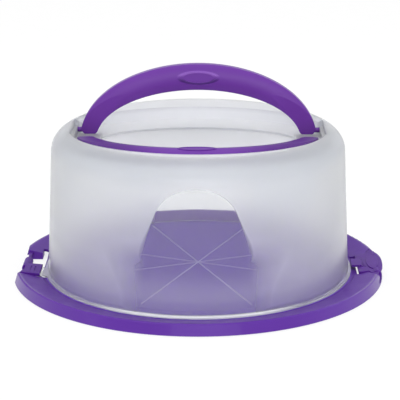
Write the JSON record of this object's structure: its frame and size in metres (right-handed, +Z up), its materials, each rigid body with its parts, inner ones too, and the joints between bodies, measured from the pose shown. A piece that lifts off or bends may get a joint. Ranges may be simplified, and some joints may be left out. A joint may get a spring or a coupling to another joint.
{
  "type": "cake carrier with hinged lid",
  "caption": "Round cake carrier: broad-rimmed tray, frosted dome lid hinged at the left and latched at the right, with a pair of arched bail handles that fold flat into the lid's dished top.",
  "frame": {"origin": "centre of the plane that the foot pads stand on", "axes": "+Z up, -Y to the front where the folded handle lies, -X to the hinge and +X to the latch"},
  "size_m": [0.356, 0.36, 0.2024],
  "materials": {
    "purple_tray": "satin moulded polypropylene, purple",
    "purple_small": "satin moulded plastic, purple",
    "purple_handle": "satin moulded plastic, purple, a little warmer than the tray",
    "frosted_dome": "frosted translucent polypropylene, milky white",
    "clear_block": "clear-white moulded plastic",
    "pad_rubber": "soft translucent non-slip rubber, pale grey"
  },
  "bodies": {
    "base": {"base_tray": "purple_tray", "foot_pads": "pad_rubber", "hinge_bar": "purple_small", "latch_pins": "purple_small"},
    "lid": {"dome_shell": "frosted_dome", "hinge_clip": "purple_small", "pivot_block_left": "clear_block", "pivot_block_right": "clear_block"},
    "rear_handle": {"rear_handle": "purple_handle"},
    "front_handle": {"front_handle": "purple_handle"},
    "latch": {"latch_lever": "purple_small"}
  },
  "joints": [
    {"name": "lid_hinge", "type": "hinge", "parent": "base", "child": "lid", "pos_m": [-0.1676, 0, 0.0065], "axis": [0, -1, 0], "range_deg": [0, 95]},
    {"name": "rear_handle_fold", "type": "hinge", "parent": "lid", "child": "rear_handle", "pos_m": [0, 0.024, 0.1372], "axis": [-1, 0, 0], "range_deg": [0, 90]},
    {"name": "front_handle_fold", "type": "hinge", "parent": "lid", "child": "front_handle", "pos_m": [0, -0.024, 0.1372], "axis": [-1, 0, 0], "range_deg": [0, 90]},
    {"name": "latch_lift", "type": "hinge", "parent": "base", "child": "latch", "pos_m": [0.1723, 0, 0.0067], "axis": [0, 1, 0], "range_deg": [0, 45]}
  ]
}
